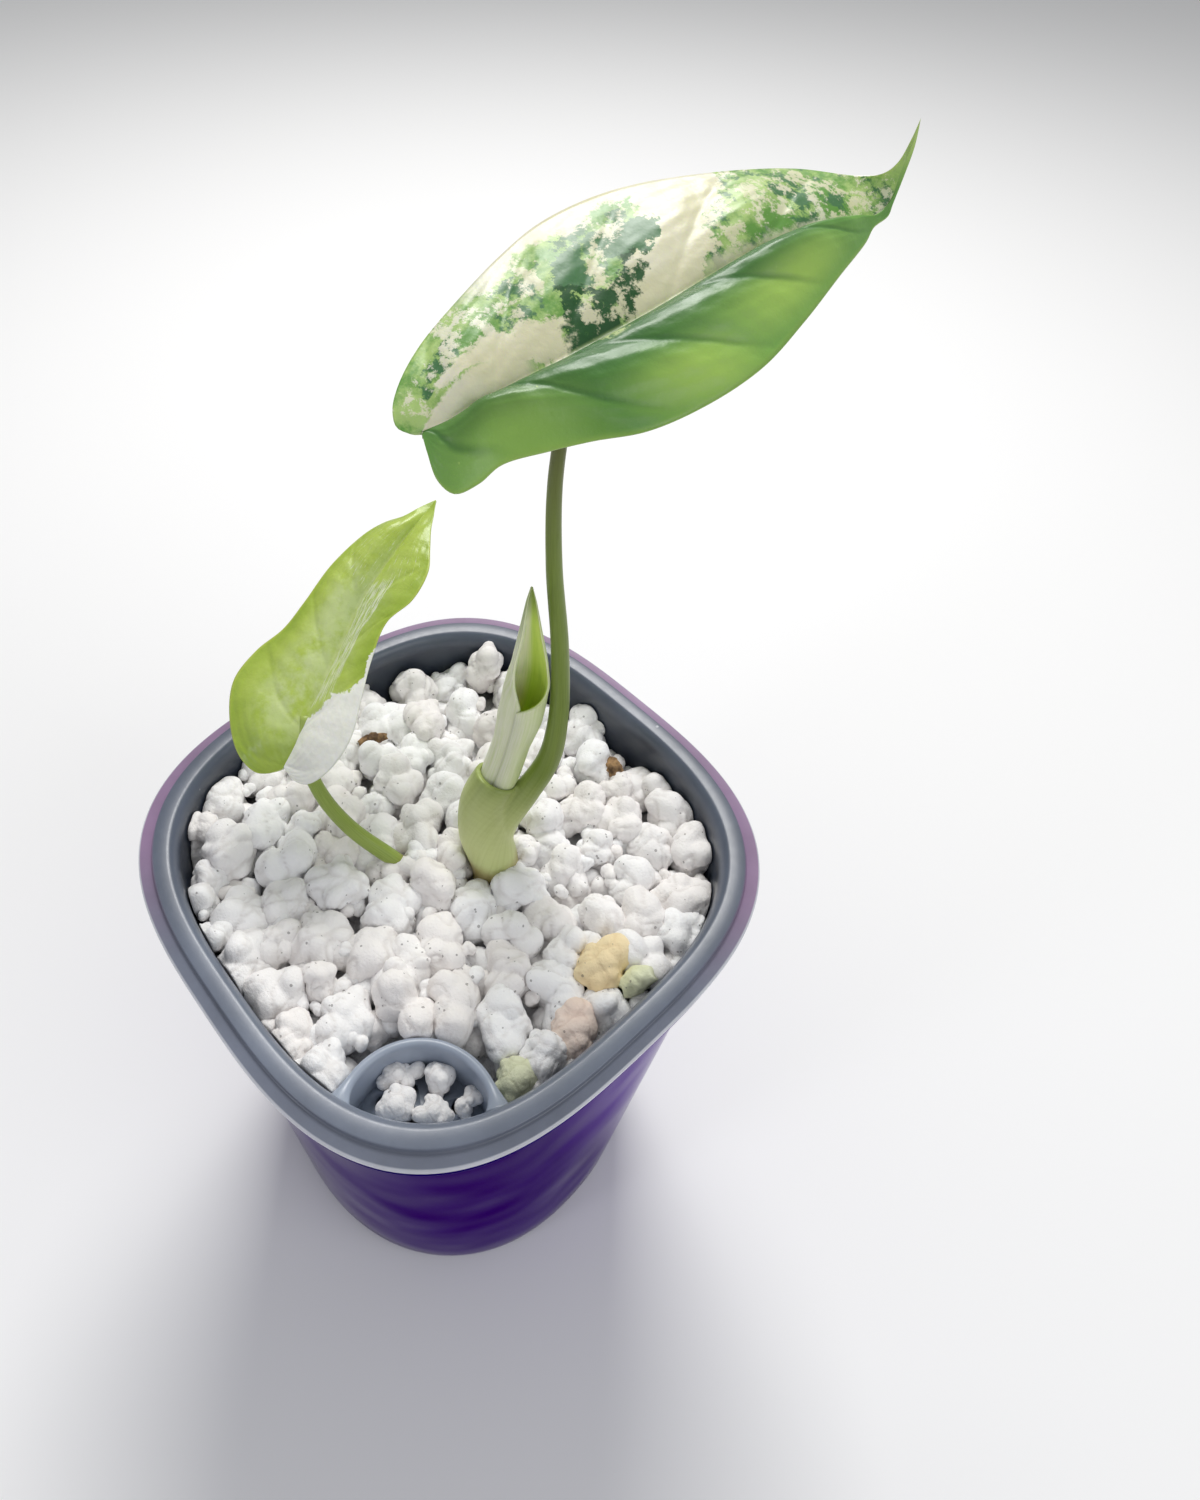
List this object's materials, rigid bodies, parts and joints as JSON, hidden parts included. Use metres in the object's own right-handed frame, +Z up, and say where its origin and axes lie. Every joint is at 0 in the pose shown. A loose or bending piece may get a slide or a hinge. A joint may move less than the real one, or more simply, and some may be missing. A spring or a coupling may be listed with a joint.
{
  "type": "potted silver dragon alocasia",
  "caption": "Small variegated alocasia with broad arrow-shaped leaves and a rolled new leaf, growing in coarse perlite in a frosted basket that hangs in a glossy rounded square pot.",
  "frame": {"origin": "centre of the pot's flat base, on the surface that it stands on", "axes": "+Z up; +X and +Y square to the pot's sides; the fill port is in the +X -Y corner"},
  "size_m": [0.102, 0.1321, 0.2182],
  "materials": {
    "pot": "high gloss, deep violet",
    "basket": "frosted, translucent smoke grey",
    "perlite": "matt, puffed and pitted",
    "perlite_tan": "matt, puffed, stained tan",
    "perlite_pink": "matt, puffed, pinkish",
    "perlite_lime": "matt, puffed, stained pale green",
    "bark": "rough brown bark",
    "root": "matt, pale tan",
    "stalk": "satin, finely striped olive green",
    "young_leaf": "satin, pale cream green",
    "leaf": "semi-gloss green with cream white and dark sectors",
    "lime_leaf": "semi-gloss lime green with white sectors and a silver sheen"
  },
  "bodies": {
    "root": {"outer_pot": "pot", "inner_basket": "basket", "perlite_bed": "perlite", "grain_tan": "perlite_tan", "grain_pink": "perlite_pink", "grain_lime_near": "perlite_lime", "grain_lime_far": "perlite_lime", "bark_chip_left": "bark", "bark_chip_right": "bark", "port_grain_long": "perlite", "port_grain_round": "perlite", "port_grain_big": "perlite", "port_grain_lumpy": "perlite", "port_grain_small": "perlite", "rootstock": "root", "petiole_large": "stalk", "petiole_small": "stalk", "leaf_new": "young_leaf", "leaf_large": "leaf", "leaf_small": "lime_leaf"}
  },
  "joints": []
}
